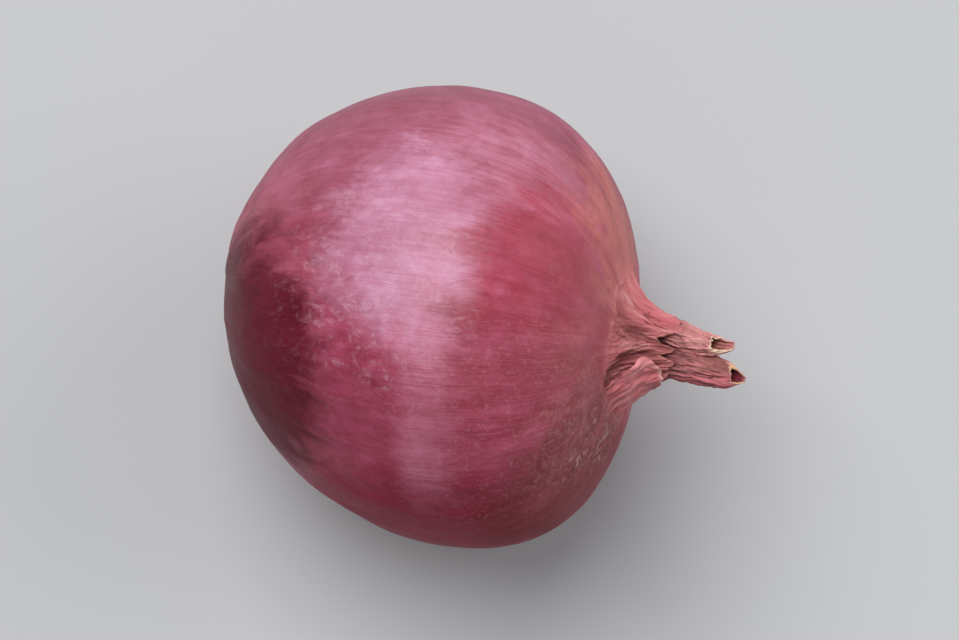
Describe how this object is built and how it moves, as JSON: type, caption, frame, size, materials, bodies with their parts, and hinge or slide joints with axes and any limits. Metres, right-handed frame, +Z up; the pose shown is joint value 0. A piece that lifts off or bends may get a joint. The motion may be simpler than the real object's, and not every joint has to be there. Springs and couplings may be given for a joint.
{
  "type": "red onion",
  "caption": "Red onion lying on its side: a round bulb in glossy purple-red skin, a short withered neck with dry leaf ends and a torn collar, and trimmed roots.",
  "frame": {"origin": "middle of the flat spot on the bulb's side that it rests on, at floor level", "axes": "+Z up; +X is the level direction in which the neck points, the neck itself rising 22 degrees above it; +Y across the onion"},
  "size_m": [0.0806, 0.0716, 0.0718],
  "materials": {
    "skin": "satin",
    "upper_leaf": "matte",
    "lower_leaf": "matte",
    "torn_skin": "matte",
    "roots": "matte"
  },
  "bodies": {
    "root": {"bulb": "skin", "neck_leaf_upper": "upper_leaf", "neck_leaf_lower": "lower_leaf", "skin_flap": "torn_skin", "root_tuft": "roots"}
  },
  "joints": []
}
